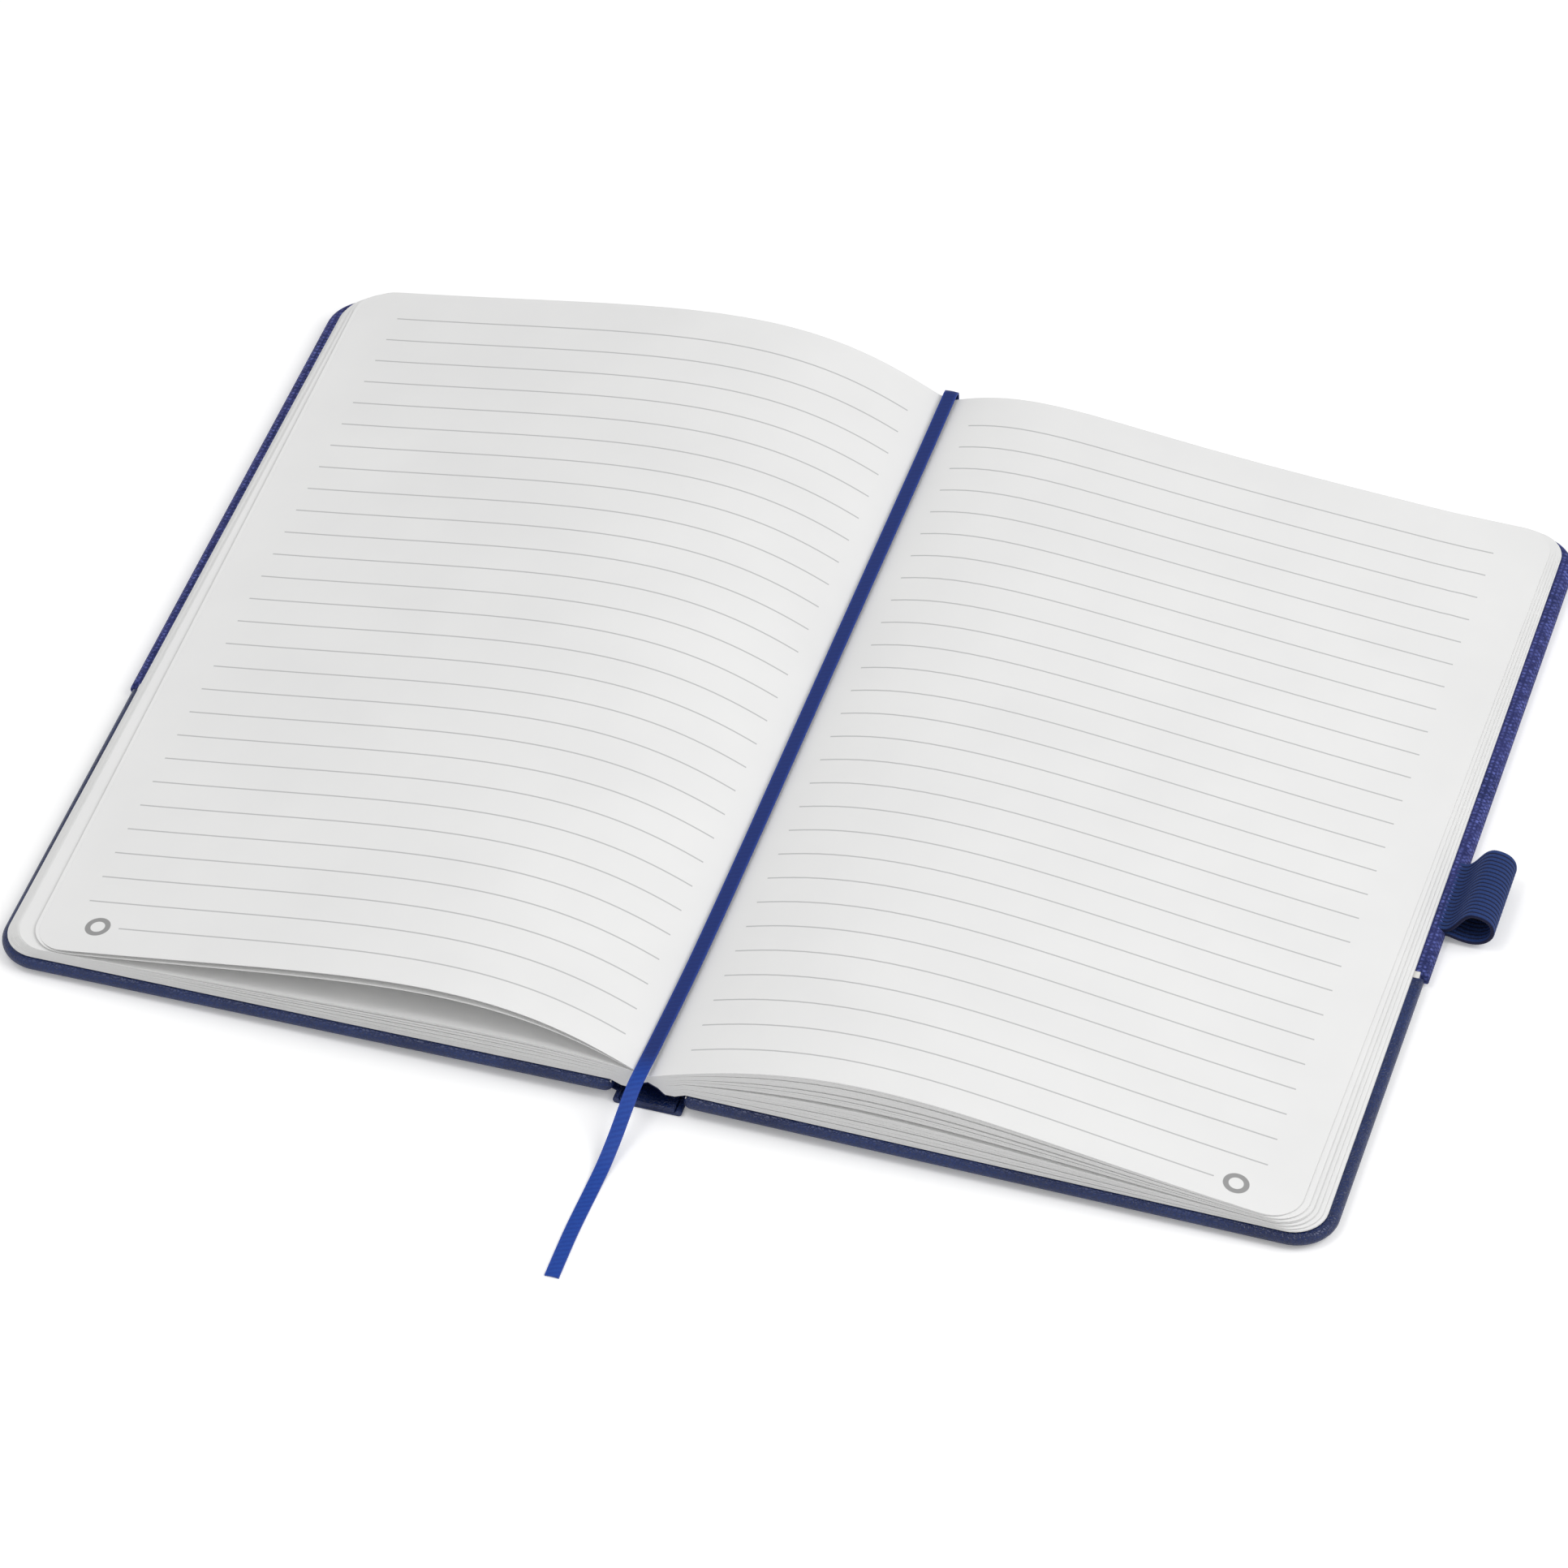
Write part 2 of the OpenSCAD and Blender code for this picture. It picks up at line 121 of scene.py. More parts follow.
# Pen loop: width and thickness of the band, its middle, its reach and height, its glued ends
LOOP_W = 19.5
LOOP_T = 0.9
LOOP_Y = -5.7
LOOP_OUT = 9.7
LOOP_TOP = 9.1
LOOP_RIBS = 18
RIB_DEPTH = 0.2
TAB_L = 14.0

# Ribbon marker, and the length of it that lies pressed between the pages, in metres, along which
# the satin is darkened as painted shade
RIBBON_W = 2.8
RIBBON_T = 0.4
RIBBON_CUP = 0.12
RIBBON_PRESSED = 0.222

# The camera stands where the photograph was taken from: azimuth, elevation, aim and distance
CAMERA_AZIMUTH = 17.02
CAMERA_ELEVATION = 43.23
CAMERA_AIM = Vector((-1.56, -9.78, 0.0)) * MM
CAMERA_DISTANCE = 1619.5 * MM
CAMERA_LENS = 185.87

# Glow of the floor for the camera alone, and light of the sky on everything
FLOOR_GLOW = 0.18
SKY_LIGHT = 0.55


def swell(t):
    """A rise from zero to one at t = 1, and a slow fall after it."""
    return t * math.exp(1 - t)


def under_z(u):
    """Underside of the leaves u millimetres from the gutter, with the arch over the spine."""
    knee = 0.55
    knee_drop = 0.38
    if u < BEAD_X0 * knee:
        share = u / (BEAD_X0 * knee)
        return ARCH_Z + share * (SPINE_CORNER_Z - ARCH_Z) * knee_drop
    if u < BEAD_X0:
        share = (u / BEAD_X0 - knee) / (1 - knee)
        return ARCH_Z + (knee_drop + (1 - knee_drop) * share) * (SPINE_CORNER_Z - ARCH_Z)
    if u < BEAD_X1:
        return SPINE_CORNER_Z
    flat = PAGE_BOTTOM_Z - (u - HINGE_X) * math.tan(COVER_TILT)
    if u < HINGE_X:
        share = (u - BEAD_X1) / (HINGE_X - BEAD_X1)
        return SPINE_CORNER_Z + share * (flat - SPINE_CORNER_Z)
    return flat


def left_z(u, k):
    """Top of the left leaves that lie flat. k is 1 at the head and -1 at the tail; it is not used
    here.
    """
    return GUTTER_Z - LEFT_SLOPE * u + LEFT_RISE * swell(max(u, 0) / LEFT_CREST)


def lifted_z(u, k, share):
    """Top of a lifted left leaf that rises by this share of the highest one."""
    rise = (LEAF_RISE + LEAF_TWIST * k) * share * swell(max(u, 0) / LEAF_CREST) ** 1.22
    return max(left_z(u, k) + 0.3 * (0.6 + share), GUTTER_Z - LEAF_SLOPE * u + rise)


def right_z(u, k):
    """Top of the right leaves, which stand higher at the tail than at the head."""
    curve = GUTTER_Z - RIGHT_SLOPE * u + RIGHT_RISE * swell(max(u, 0) / RIGHT_CREST) ** 1.08
    curve -= RIGHT_TWIST * k * swell(max(u, 0) / RIGHT_TWIST_CREST) ** 3
    return max(curve, under_z(u) + RIGHT_LEAST)


def smooth_route(points, steps):
    """A smooth curve through the points, with this many steps between two of them."""
    made = []
    points = [Vector(p) for p in points]
    for i in range(len(points) - 1):
        a, b = points[max(i - 1, 0)], points[i]
        c, d = points[i + 1], points[min(i + 2, len(points) - 1)]
        for j in range(steps):
            t = j / steps
            made.append(0.5 * (2 * b + (c - a) * t + (2 * a - 5 * b + 4 * c - d) * t * t
                               + (3 * b - a - 3 * c + d) * t ** 3))
    made.append(points[-1])
    return made


def new_object(name, bm, material, smooth_angle=32):
    """Makes a piece of a bmesh that is in millimetres, smooth where its faces meet gently."""
    bmesh.ops.scale(bm, vec=(MM, MM, MM), verts=bm.verts)
    bmesh.ops.recalc_face_normals(bm, faces=bm.faces)
    mesh = bpy.data.meshes.new(name)
    bm.to_mesh(mesh)
    bm.free()
    mesh.shade_smooth()
    mesh.set_sharp_from_angle(angle=math.radians(smooth_angle))
    mesh.materials.append(material)
    piece = bpy.data.objects.new(name, mesh)
    bpy.context.scene.collection.objects.link(piece)
    return piece


def settle(piece, body, slot, *nodes):
    """Puts a finished piece on its body and hides the nodes that it replaces. Its slot is not used.
    """
    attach(piece, body)
    if nodes:
        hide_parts(*nodes)
    return piece


def node_tree(name):
    """A new material, its node tree and its Principled shader."""
    material = bpy.data.materials.new(name)
    material.use_nodes = True
    tree = material.node_tree
    return material, tree, tree.nodes["Principled BSDF"]


def add(tree, kind, **inputs):
    """Adds a node. An input is named by its label, or by i and its number. It gets a number, a
    colour or another node's socket. What starts with set_ is one of the node's own settings."""
    node = tree.nodes.new("ShaderNode" + kind)
    for key, value in inputs.items():
        if key.startswith("set_"):
            setattr(node, key[4:], value)
            continue
        socket = node.inputs[int(key[1:])] if key[0] == "i" and key[1:].isdigit() \
            else node.inputs[key.replace("_", " ")]
        if isinstance(value, bpy.types.NodeSocket):
            tree.links.new(value, socket)
        else:
            socket.default_value = value
    return node


def maths(tree, operation, a, b=0.0, c=0.0):
    """The output of one Math node."""
    return add(tree, "Math", set_operation=operation, i0=a, i1=b, i2=c).outputs[0]


def mixed(tree, share, first, second):
    """The colour between two colours."""
    node = tree.nodes.new("ShaderNodeMix")
    node.data_type = "RGBA"
    for socket, value in ((node.inputs["Factor"], share), (node.inputs[6], first),
                          (node.inputs[7], second)):
        if isinstance(value, bpy.types.NodeSocket):
            tree.links.new(value, socket)
        else:
            socket.default_value = value
    return node.outputs[2]


def spread(tree, value, low, high, to_low=0.0, to_high=1.0):
    """A value taken from one range to another, and held inside it."""
    node = add(tree, "MapRange", Value=value)
    node.inputs["From Min"].default_value = low
    node.inputs["From Max"].default_value = high
    node.inputs["To Min"].default_value = to_low
    node.inputs["To Max"].default_value = to_high
    return node.outputs[0]


def effect_group(name, inputs, outputs):
    """A new node group with named inputs and outputs. Gives the group and its two end nodes."""
    group = bpy.data.node_groups.new(name, "ShaderNodeTree")
    for label, kind, value in inputs:
        socket = group.interface.new_socket(label, in_out="INPUT", socket_type=kind)
        if value is not None:
            socket.default_value = value
    for label, kind in outputs:
        group.interface.new_socket(label, in_out="OUTPUT", socket_type=kind)
    return group, group.nodes.new("NodeGroupInput"), group.nodes.new("NodeGroupOutput")


def place_group(tree, group, **inputs):
    """Puts a node group in a material with its own values."""
    node = tree.nodes.new("ShaderNodeGroup")
    node.node_tree = group
    for key, value in inputs.items():
        socket = node.inputs[key.replace("_", " ")]
        if isinstance(value, bpy.types.NodeSocket):
            tree.links.new(value, socket)
        else:
            socket.default_value = value
    return node


def make_grain_group():
    """Pressed grain of leatherette: small pebbles with creases between them."""
    group, start, end = effect_group(
        "pressed grain",
        [("Vector", "NodeSocketVector", None), ("Pebbles per metre", "NodeSocketFloat", 1500.0)],
        [("Height", "NodeSocketFloat"), ("Crease", "NodeSocketFloat"),
         ("Patch", "NodeSocketFloat")])
    bend = add(group, "TexNoise", Vector=start.outputs["Vector"], Scale=420.0, Detail=2.0)
    moved = add(group, "VectorMath", set_operation="MULTIPLY_ADD", i0=bend.outputs["Color"],
                i1=(0.0009, 0.0009, 0.0009), i2=start.outputs["Vector"])
    cells = add(group, "TexVoronoi", set_feature="DISTANCE_TO_EDGE", Vector=moved.outputs[0],
                Scale=start.outputs["Pebbles per metre"])
    fine = add(group, "TexNoise", Vector=start.outputs["Vector"], Scale=6000.0, Detail=3.0)
    crease = spread(group, cells.outputs["Distance"], 0.0, 0.16, 1.0, 0.0)
    pebble = maths(group, "SUBTRACT", maths(group, "MULTIPLY", fine.outputs[0], 0.35), crease)
    patch = add(group, "TexNoise", Vector=start.outputs["Vector"], Scale=60.0, Detail=3.0)
    group.links.new(pebble, end.inputs["Height"])
    group.links.new(crease, end.inputs["Crease"])
    group.links.new(patch.outputs[0], end.inputs["Patch"])
    return group


def make_weave_group():
    """Crossing threads on any side of a piece, with uneven threads for a heather look."""
    group, start, end = effect_group(
        "crossing threads",
        [("Vector", "NodeSocketVector", None), ("Threads per metre", "NodeSocketFloat", 2200.0),
         ("Unevenness", "NodeSocketFloat", 0.4)],
        [("Height", "NodeSocketFloat"), ("Thread", "NodeSocketFloat"),
         ("Patch", "NodeSocketFloat")])
    wander = add(group, "TexNoise", Vector=start.outputs["Vector"], Scale=300.0, Detail=1.0)
    moved = add(group, "VectorMath", set_operation="MULTIPLY_ADD", i0=wander.outputs["Color"],
                i1=(0.0005, 0.0005, 0.0005), i2=start.outputs["Vector"])
    turns = maths(group, "MULTIPLY", start.outputs["Threads per metre"], math.pi)
    scaled = add(group, "VectorMath", set_operation="SCALE", i0=moved.outputs[0])
    group.links.new(turns, scaled.inputs["Scale"])
    waves = add(group, "VectorMath", set_operation="SINE", i0=scaled.outputs[0])
    parts = add(group, "SeparateXYZ", i0=waves.outputs[0])
    over = maths(group, "MULTIPLY", parts.outputs[0], parts.outputs[1])
    rise = maths(group, "MULTIPLY", parts.outputs[1], parts.outputs[2])
    across = maths(group, "MULTIPLY", parts.outputs[2], parts.outputs[0])
    height = maths(group, "ADD", maths(group, "ADD", over, rise), across)
    threads = add(group, "Mapping", Vector=start.outputs["Vector"], Scale=(1.0, 3.2, 2.0))
    uneven = add(group, "TexNoise", Vector=threads.outputs[0], Scale=1100.0, Detail=3.0)
    thread = maths(group, "MULTIPLY_ADD", height, 0.22, uneven.outputs[0])
    patch = add(group, "TexNoise", Vector=start.outputs["Vector"], Scale=90.0, Detail=2.0)
    loose = maths(group, "MULTIPLY", uneven.outputs[0], start.outputs["Unevenness"])
    group.links.new(maths(group, "ADD", height, loose), end.inputs["Height"])
    group.links.new(thread, end.inputs["Thread"])
    group.links.new(patch.outputs[0], end.inputs["Patch"])
    return group


def make_fibre_group():
    """Fibres and soft unevenness of paper and card."""
    group, start, end = effect_group(
        "paper fibres",
        [("Vector", "NodeSocketVector", None), ("Fibres per metre", "NodeSocketFloat", 2500.0)],
        [("Height", "NodeSocketFloat"), ("Cloud", "NodeSocketFloat")])
    fine = add(group, "TexNoise", Vector=start.outputs["Vector"], Detail=4.0, Roughness=0.65)
    group.links.new(start.outputs["Fibres per metre"], fine.inputs["Scale"])
    cloud = add(group, "TexNoise", Vector=start.outputs["Vector"], Scale=45.0, Detail=3.0)
    group.links.new(fine.outputs[0], end.inputs["Height"])
    group.links.new(cloud.outputs[0], end.inputs["Cloud"])
    return group


GRAIN = make_grain_group()
WEAVE = make_weave_group()
FIBRES = make_fibre_group()


def bump(tree, shader, height, strength, distance):
    """Feeds a height to the shader's normal."""
    node = add(tree, "Bump", Height=height, Strength=strength, Distance=distance)
    tree.links.new(node.outputs[0], shader.inputs["Normal"])


def paper_material(name, pale, dark, roughness, fibres=2500.0):
    """Uncoated paper or card, between two near colours."""
    material, tree, shader = node_tree(name)
    place = add(tree, "TexCoord").outputs["Object"]
    fibre = place_group(tree, FIBRES, Vector=place, Fibres_per_metre=fibres)
    share = spread(tree, fibre.outputs["Cloud"], 0.3, 0.7)
    tree.links.new(mixed(tree, share, pale, dark), shader.inputs["Base Color"])
    shader.inputs["Roughness"].default_value = roughness
    shader.inputs["Specular IOR Level"].default_value = 0.25
    bump(tree, shader, fibre.outputs["Height"], 0.12, 0.00004)
    return material, tree, shader, place


# Ruling of a page, in millimetres: the first rule, their distance and thickness, and the margins
RULE_TOP_Y = 94.6
RULE_PITCH = 7.1
RULE_COUNT = 28
RULE_HALF = 0.16
RULE_IN = 6.6
RULE_OUT = 119.2
LAST_RULE_OUT = 110.4
MARK_X = 114.8
MARK_RING = 2.0
MARK_LINE = 0.55
# The curved pages turn a little in their own plane beyond this distance from the gutter
SKEW_FROM = 15.0
SKEW_LEFT = 0.005
SKEW_RIGHT = 0.014


def ruled_paper():
    """Page paper with grey rules, a short last rule and a plain grey ring at its end, and painted
    shade on the leaves' cut edges.
    """
    paper = paper_material("ruled page paper", (0.83, 0.83, 0.825, 1), (0.80, 0.80, 0.797, 1), 0.75)
    material, tree, shader, place = paper
    parts = add(tree, "SeparateXYZ", i0=place)
    x = maths(tree, "MULTIPLY", maths(tree, "ABSOLUTE", parts.outputs[0]), 1000.0)
    on_right = maths(tree, "GREATER_THAN", parts.outputs[0], 0.0)
    skew = maths(tree, "MULTIPLY_ADD", on_right, SKEW_RIGHT + SKEW_LEFT, -SKEW_LEFT)
    out = maths(tree, "MAXIMUM", maths(tree, "SUBTRACT", x, SKEW_FROM), 0.0)
    straight = maths(tree, "MULTIPLY", parts.outputs[1], 1000.0)
    y = maths(tree, "MULTIPLY_ADD", out, skew, straight)
    down = maths(tree, "DIVIDE", maths(tree, "SUBTRACT", RULE_TOP_Y, y), RULE_PITCH)
    nearest = maths(tree, "ROUND", down)
    off = maths(tree, "MULTIPLY", maths(tree, "ABSOLUTE", maths(tree, "SUBTRACT", down, nearest)),
                RULE_PITCH)
    on_rule = spread(tree, off, RULE_HALF * 0.8, RULE_HALF * 1.3, 1.0, 0.0)
    last = maths(tree, "GREATER_THAN", nearest, RULE_COUNT - 1.5)
    far_end = maths(tree, "MULTIPLY_ADD", last, LAST_RULE_OUT - RULE_OUT, RULE_OUT)
    inside = maths(tree, "MULTIPLY", maths(tree, "GREATER_THAN", x, RULE_IN),
                   maths(tree, "LESS_THAN", x, far_end))
    counted = maths(tree, "MULTIPLY", maths(tree, "GREATER_THAN", nearest, -0.5),
                    maths(tree, "LESS_THAN", nearest, RULE_COUNT - 0.5))
    rule = maths(tree, "MULTIPLY", maths(tree, "MULTIPLY", on_rule, inside), counted)
    mark_y = RULE_TOP_Y - RULE_PITCH * (RULE_COUNT - 1)
    from_mark = maths(tree, "SQRT", maths(
        tree, "ADD", maths(tree, "POWER", maths(tree, "SUBTRACT", x, MARK_X), 2.0),
        maths(tree, "POWER", maths(tree, "SUBTRACT", y, mark_y), 2.0)))
    ring = spread(tree, maths(tree, "ABSOLUTE", maths(tree, "SUBTRACT", from_mark, MARK_RING)),
                  MARK_LINE * 0.9, MARK_LINE * 1.1, 1.0, 0.0)
    bare = shader.inputs["Base Color"].links[0].from_socket
    with_rules = mixed(tree, maths(tree, "MULTIPLY", rule, 0.9), bare, (0.48, 0.48, 0.485, 1))
    printed = mixed(tree, ring, with_rules, (0.32, 0.32, 0.32, 1))
    # Painted shade: the leaves' cut edges are mixed halfway to grey, so that dark lines show
    # between the stepped leaves.
    cut = add(tree, "Attribute", set_attribute_name="edge_shade").outputs["Fac"]
    shaded = mixed(tree, maths(tree, "MULTIPLY", cut, 0.5), printed, (0.56, 0.56, 0.555, 1))
    tree.links.new(shaded, shader.inputs["Base Color"])
    return material


def leatherette_material():
    """Smooth navy leatherette with a fine pressed grain and a soft shine."""
    material, tree, shader = node_tree("navy leatherette")
    place = add(tree, "TexCoord").outputs["Object"]
    grain = place_group(tree, GRAIN, Vector=place, Pebbles_per_metre=1500.0)
    base = mixed(tree, spread(tree, grain.outputs["Patch"], 0.35, 0.65),
                 (0.005, 0.016, 0.082, 1), (0.009, 0.027, 0.125, 1))
    # Painted shade: the grain's creases are darkened towards near-black navy.
    crease_shaded = mixed(tree, maths(tree, "MULTIPLY", grain.outputs["Crease"], 0.55), base,
                 (0.002, 0.006, 0.035, 1))
    tree.links.new(crease_shaded, shader.inputs["Base Color"])
    rough = spread(tree, grain.outputs["Patch"], 0.3, 0.7, 0.26, 0.36)
    tree.links.new(rough, shader.inputs["Roughness"])
    shader.inputs["Specular IOR Level"].default_value = 0.5
    bump(tree, shader, grain.outputs["Height"], 0.75, 0.0001)
    return material


def fabric_material():
    """Heather cloth of navy and purple threads."""
    material, tree, shader = node_tree("heather fabric")
    place = add(tree, "TexCoord").outputs["Object"]
    weave = place_group(tree, WEAVE, Vector=place, Threads_per_metre=1900.0, Unevenness=0.5)
    dark = mixed(tree, spread(tree, weave.outputs["Patch"], 0.35, 0.65),
                 (0.014, 0.022, 0.1, 1), (0.026, 0.032, 0.14, 1))
    tuft = add(tree, "TexNoise", Vector=place, Scale=750.0, Detail=3.0, Roughness=0.7)
    light = maths(tree, "MULTIPLY", spread(tree, weave.outputs["Thread"], 0.3, 0.8),
                  spread(tree, tuft.outputs[0], 0.38, 0.66))
    tree.links.new(mixed(tree, light, dark, (0.13, 0.16, 0.5, 1)), shader.inputs["Base Color"])
    shader.inputs["Roughness"].default_value = 0.85
    shader.inputs["Specular IOR Level"].default_value = 0.2
    shader.inputs["Sheen Weight"].default_value = 0.12
    shader.inputs["Sheen Roughness"].default_value = 0.5
    shader.inputs["Sheen Tint"].default_value = (0.7, 0.65, 1.0, 1)
    bump(tree, shader, weave.outputs["Height"], 0.55, 0.00012)
    return material


def ribbon_material():
    """Woven satin with firm selvedges. Its own UV map runs along and across it."""
    material, tree, shader = node_tree("satin ribbon")
    uv = add(tree, "UVMap", set_uv_map="strip").outputs[0]
    parts = add(tree, "SeparateXYZ", i0=uv)
    along, across = parts.outputs[0], parts.outputs[1]
    slant = maths(tree, "MULTIPLY_ADD", across, 2600.0, maths(tree, "MULTIPLY", along, 5200.0))
    twill = maths(tree, "MULTIPLY_ADD", maths(tree, "SINE", slant), 0.5, 0.5)
    weft = maths(tree, "MULTIPLY_ADD",
                 maths(tree, "SINE", maths(tree, "MULTIPLY", along, 11000.0)), 0.5, 0.5)
    edge = spread(tree, maths(tree, "ABSOLUTE", across), 0.001, 0.0012)
    stretched = add(tree, "Mapping", Vector=uv, Scale=(700.0, 5200.0, 1.0))
    streak = add(tree, "TexNoise", Vector=stretched.outputs[0], Scale=1.0, Detail=2.0)
    body = mixed(tree, streak.outputs[0], (0.003, 0.033, 0.25, 1), (0.009, 0.058, 0.345, 1))
    threads = mixed(tree, maths(tree, "MULTIPLY", twill, 0.35), body, (0.016, 0.085, 0.44, 1))
    # Painted shade: the ribbon is darkened along the length that lies between the pages, fading out
    # just past where it leaves them.
    gutter_shade = spread(tree, along, RIBBON_PRESSED - 0.002, RIBBON_PRESSED + 0.004, 0.68, 0.0)
    gutter_shaded = mixed(tree, gutter_shade, threads, (0.006, 0.01, 0.07, 1))
    final = mixed(tree, maths(tree, "MULTIPLY", edge, 0.45), gutter_shaded, (0.02, 0.06, 0.36, 1))
    tree.links.new(final, shader.inputs["Base Color"])
    shader.inputs["Roughness"].default_value = 0.5
    shader.inputs["Specular IOR Level"].default_value = 0.3
    shader.inputs["Sheen Weight"].default_value = 0.06
    shader.inputs["Sheen Tint"].default_value = (0.3, 0.4, 1.0, 1)
    shader.inputs["Anisotropic"].default_value = 0.4
    height = maths(tree, "ADD", maths(tree, "MULTIPLY", twill, 0.6),
                   maths(tree, "MULTIPLY_ADD", edge, 0.8, maths(tree, "MULTIPLY", weft, 0.5)))
    bump(tree, shader, height, 0.4, 0.00004)
    return material


def elastic_material():
    """Ribbed elastic: fine threads across each rib, and painted shade in the grooves between the
    ribs.
    """
    material, tree, shader = node_tree("ribbed elastic")
    uv = add(tree, "UVMap", set_uv_map="strip").outputs[0]
    parts = add(tree, "SeparateXYZ", i0=uv)
    along, across = parts.outputs[0], parts.outputs[1]
    groove = maths(tree, "ABSOLUTE", maths(tree, "COSINE", maths(
        tree, "MULTIPLY", across, math.pi * LOOP_RIBS / (LOOP_W * MM))))
    # Painted shade: the grooves between the ribs are darkened towards near black.
    groove_shade = spread(tree, groove, 0.75, 1.0)
    threads = maths(tree, "SINE", maths(tree, "MULTIPLY", along, 12000.0))
    speckle = add(tree, "TexNoise", Vector=uv, Scale=2600.0, Detail=2.0)
    base = mixed(tree, speckle.outputs[0], (0.008, 0.026, 0.115, 1), (0.02, 0.055, 0.2, 1))
    tree.links.new(mixed(tree, groove_shade, base, (0.002, 0.004, 0.03, 1)),
                   shader.inputs["Base Color"])
    shader.inputs["Roughness"].default_value = 0.7
    shader.inputs["Specular IOR Level"].default_value = 0.25
    shader.inputs["Sheen Weight"].default_value = 0.08
    shader.inputs["Sheen Tint"].default_value = (0.6, 0.55, 1.0, 1)
    bump(tree, shader, maths(tree, "ADD", threads, speckle.outputs[0]), 0.35, 0.00005)
    return material


PAGE_PAPER = ruled_paper()
END_PAPER = paper_material("end paper", (0.82, 0.82, 0.815, 1), (0.78, 0.78, 0.776, 1), 0.8)[0]
CARD = paper_material("board card", (0.78, 0.77, 0.74, 1), (0.68, 0.67, 0.64, 1), 0.9, 1500.0)[0]
LINING = paper_material("dark lining", (0.012, 0.016, 0.06, 1), (0.02, 0.024, 0.085, 1), 0.9)[0]
LEATHERETTE = leatherette_material()
FABRIC = fabric_material()
SATIN = ribbon_material()
ELASTIC = elastic_material()


def flat_page(bm, side, end, cuts):
    """A page outline with two round corners, cut into strips. Gives its faces."""
    made = bmesh.ops.create_grid(bm, x_segments=1, y_segments=1, size=0.5)["verts"]
    bmesh.ops.scale(bm, vec=(end, PAGE_H, 1), verts=made)
    bmesh.ops.translate(bm, vec=(end / 2, 0, 0), verts=made)
    outer = [v for v in made if v.co.x > end / 2]
    bmesh.ops.bevel(bm, geom=outer, offset=PAGE_R, segments=10, profile=0.5,
                    affect="VERTICES", material=-1)
    for i in range(1, cuts):
        bmesh.ops.bisect_plane(bm, geom=bm.verts[:] + bm.edges[:] + bm.faces[:], dist=1e-5,
                               plane_co=(end * (i / cuts) ** 1.5, 0, 0), plane_no=(1, 0, 0))
    for share in (-0.45, -0.3, -0.15, 0, 0.15, 0.3, 0.45):
        bmesh.ops.bisect_plane(bm, geom=bm.verts[:] + bm.edges[:] + bm.faces[:], dist=1e-5,
                               plane_co=(0, PAGE_H * share, 0), plane_no=(0, 1, 0))
    bmesh.ops.scale(bm, vec=(side, 1, 1), verts=bm.verts)
    return bm.faces[:]


def add_leaf(bm, pattern, end, lean, skew, low, high):
    """Copies the flat page and fills it between two heights. It ends farther out by the lean at
    the head, and its head edge comes down by the skew towards the fore edge."""
    made = bmesh.ops.duplicate(bm, geom=pattern)["geom"]
    lower = [g for g in made if isinstance(g, bmesh.types.BMVert)]
    for v in lower:
        k = v.co.y / PAGE_HALF
        v.co.x *= (end + lean * k) / PAGE_W
        v.co.y -= skew * max(abs(v.co.x) - SKEW_FROM, 0) * (1 + k) / 2
    faces = [g for g in made if isinstance(g, bmesh.types.BMFace)]
    raised = bmesh.ops.extrude_face_region(bm, geom=faces)["geom"]
    upper = [g for g in raised if isinstance(g, bmesh.types.BMVert)]
    for verts, height in ((lower, low), (upper, high)):
        for v in verts:
            v.co.z = height(abs(v.co.x), 2 * v.co.y / PAGE_H)


def mark_edge_shade(bm):
    """Marks the cut edges of the leaves, which the page paper darkens as painted shade."""
    mark = bm.faces.layers.float.new("edge_shade")
    bm.normal_update()
    for face in bm.faces:
        face[mark] = 1.0 if abs(face.normal.z) < 0.5 else 0.0


def page_stack(name, side, count, top, ends, leans, skew, wide_gaps, open_share, seed):
    """Leaves on one side, each one thin, with small gaps between them and a few wide ones, which
    stay open up to a share of the page's width. ends and leans give each leaf's end by its level,
    which is 0 at the bottom and 1 at the top."""
    chance = random.Random(seed)
    bm = bmesh.new()
    flat_page(bm, side, PAGE_W, 34)
    pattern = bm.verts[:] + bm.edges[:] + bm.faces[:]
    gaps = [0.0]
    for i in range(1, count):
        gaps.append(wide_gaps.get(i, chance.choice((0.01, 0.02, 0.03, 0.08))))
    total_gap = sum(gaps)

    def layers(u, k):
        """Thickness of one leaf there, and how far the gaps are open."""
        room = top(u, k) - under_z(u)
        open_to = open_share * PAGE_W
        share = 0.0
        if GAP_FROM < u < open_to:
            share = math.sin(math.pi * ((u - GAP_FROM) / (open_to - GAP_FROM)) ** 0.75)
            share *= min(1.0, 0.45 * room / total_gap)
        return (room - total_gap * share) / count, share

    for i in range(count):
        level = i / (count - 1)
        end = ends(level) + chance.uniform(-0.12, 0.12)
        lean = leans(level) + chance.uniform(-0.15, 0.15)

        def low(u, k, i=i):
            leaf, share = layers(u, k)
            return under_z(u) + leaf * i + sum(gaps[:i + 1]) * share + LEAF_SPACE

        def high(u, k, i=i):
            leaf, share = layers(u, k)
            return under_z(u) + leaf * (i + 1) + sum(gaps[:i + 1]) * share

        add_leaf(bm, pattern, end, lean, skew * level, low, high)
    bmesh.ops.delete(bm, geom=[g for g in pattern if isinstance(g, bmesh.types.BMVert)],
                     context="VERTS")
    mark_edge_shade(bm)
    return new_object(name, bm, PAGE_PAPER)


def group_level(level):
    """The level of a leaf's group. Leaves of one group end together, in a step at the fore edge."""
    return round(5 * level) / 5


